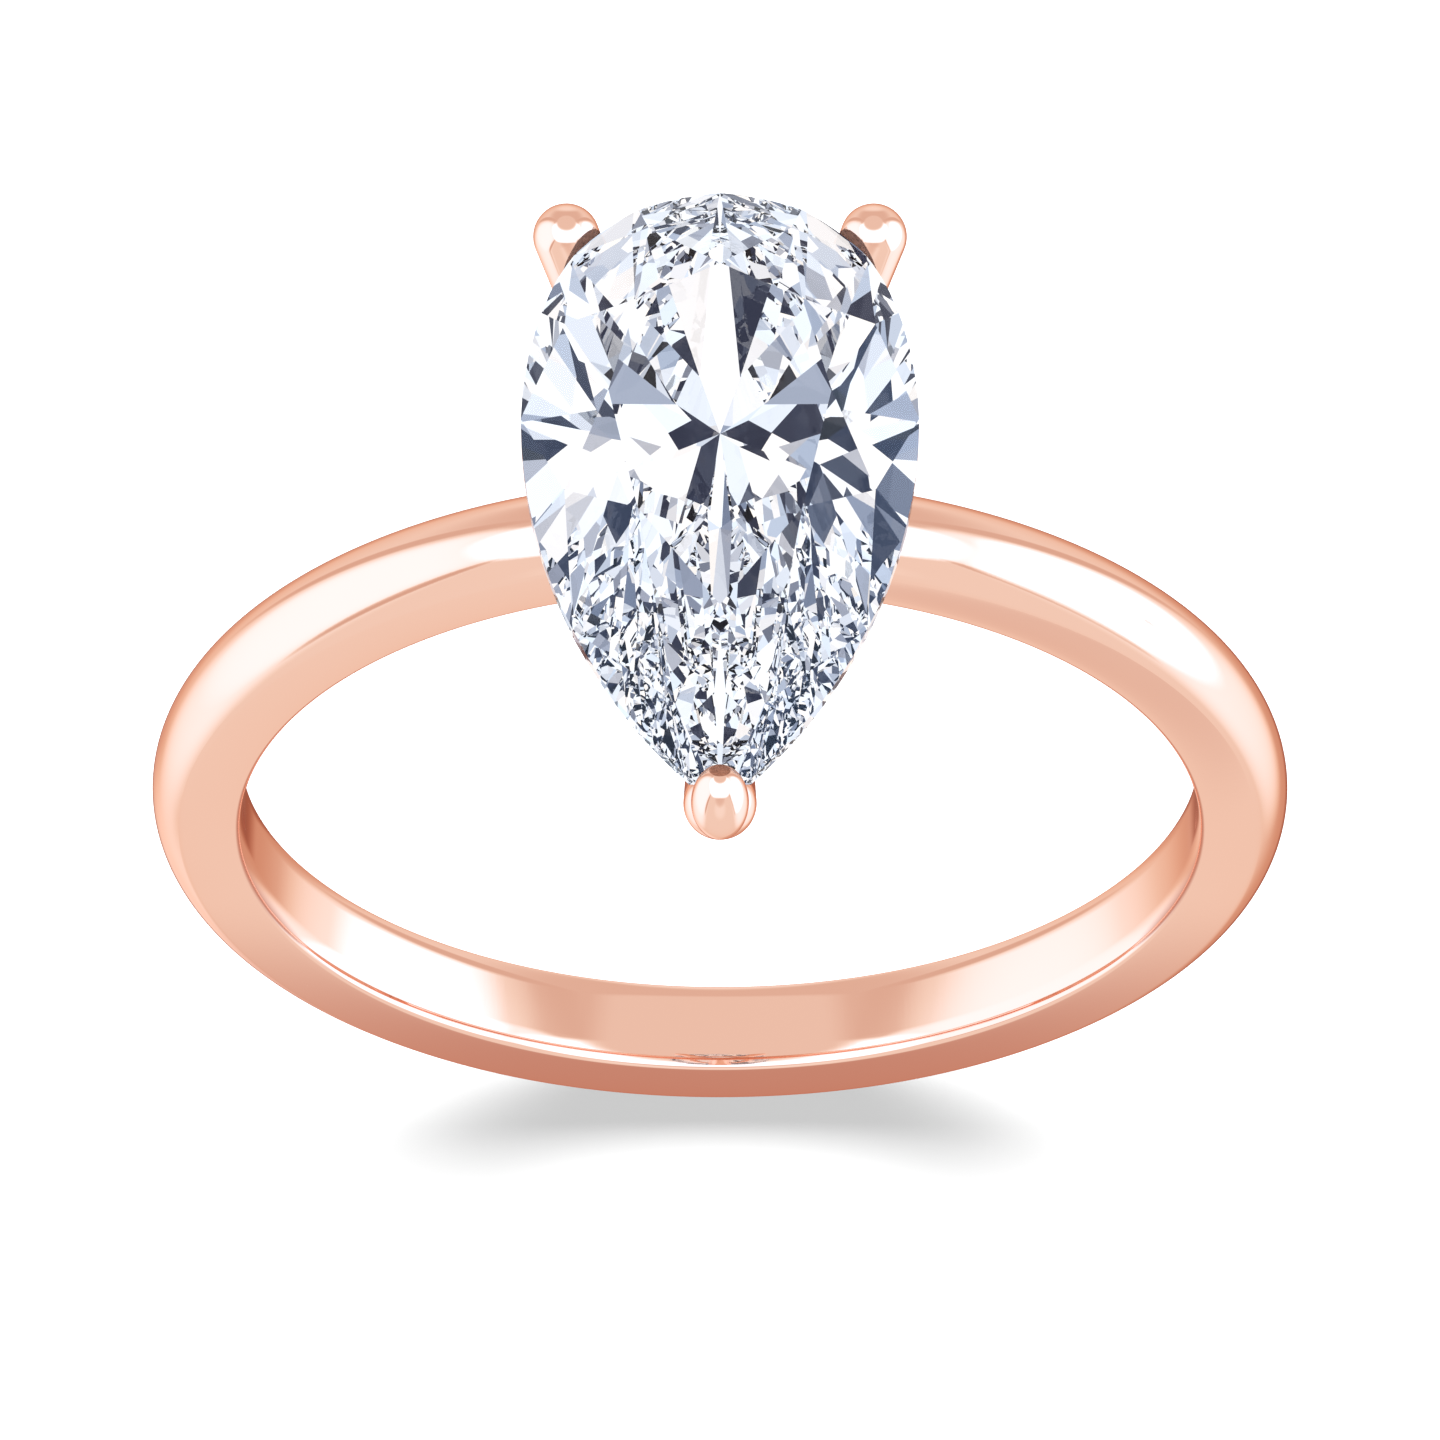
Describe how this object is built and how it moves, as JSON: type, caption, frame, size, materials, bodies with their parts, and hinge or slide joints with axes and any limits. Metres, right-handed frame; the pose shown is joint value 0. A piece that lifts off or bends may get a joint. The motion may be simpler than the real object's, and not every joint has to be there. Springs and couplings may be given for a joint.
{
  "type": "engagement ring",
  "caption": "Solitaire engagement ring: plain rounded shank with a peg head whose three claws and gallery rail hold a pear-cut stone, point forward.",
  "frame": {"origin": "centre of the finger hole, midway across the width of the shank", "axes": "+Y along the finger hole, away from the stone's point; +Z through the head and up out of the table of the stone; +X to the right seen from the stone's point"},
  "size_m": [0.0206, 0.0132, 0.0254],
  "materials": {
    "shank": "polished rose gold",
    "head": "polished rose gold",
    "claws": "polished rose gold",
    "stone": "faceted and polished, colourless"
  },
  "bodies": {
    "root": {"shank": "shank", "head_peg": "head", "head_base": "head", "gallery_rail": "head", "prong_left": "claws", "prong_right": "claws", "prong_tip": "claws", "stone": "stone"}
  },
  "joints": []
}
